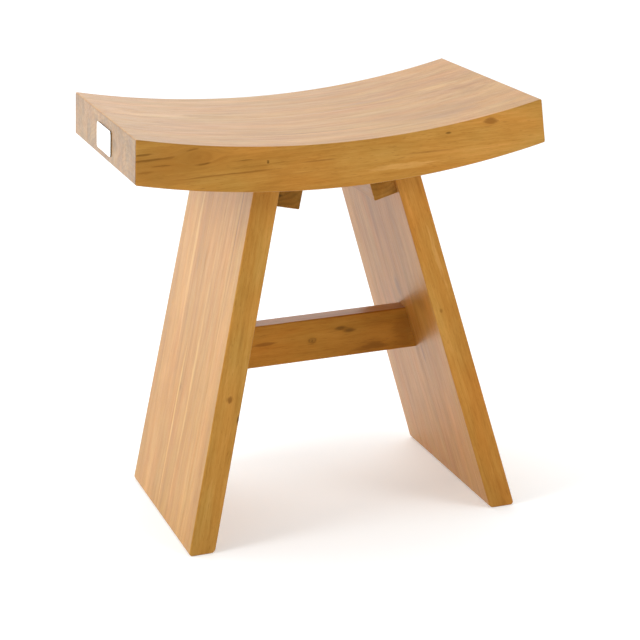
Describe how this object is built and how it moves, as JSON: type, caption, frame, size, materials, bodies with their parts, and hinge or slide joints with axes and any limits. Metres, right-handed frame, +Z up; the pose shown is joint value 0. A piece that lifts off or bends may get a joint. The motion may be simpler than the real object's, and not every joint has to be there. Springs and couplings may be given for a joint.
{
  "type": "shower stool",
  "caption": "Solid teak shower stool with a dipped rectangular seat, splayed slab legs, a low stretcher between them and cleats under the seat.",
  "frame": {"origin": "on the floor, under the centre of the seat", "axes": "+Z up; X along the seat's length, -X at the end with the small plate; -Y at the front, +Y at the back"},
  "size_m": [0.4506, 0.297, 0.464],
  "materials": {
    "seat_teak": "oiled teak, sanded smooth",
    "leg_teak": "oiled teak, sanded smooth",
    "rail_teak": "oiled teak, sanded smooth",
    "dowel_beech": "plain turned beech",
    "screw_steel": "stainless steel, plain",
    "plate_white": "gloss white, blank"
  },
  "bodies": {
    "root": {"seat_board_front": "seat_teak", "seat_board_mid_front": "seat_teak", "seat_board_mid_back": "seat_teak", "seat_board_back": "seat_teak", "left_leg_board_front": "leg_teak", "left_leg_board_mid": "leg_teak", "left_leg_board_back": "leg_teak", "right_leg_board_front": "leg_teak", "right_leg_board_mid": "leg_teak", "right_leg_board_back": "leg_teak", "stretcher": "rail_teak", "left_cleat": "rail_teak", "right_cleat": "rail_teak", "leg_dowels": "dowel_beech", "cleat_to_leg_screws": "screw_steel", "cleat_to_seat_screws": "screw_steel", "end_plate": "plate_white"}
  },
  "joints": []
}
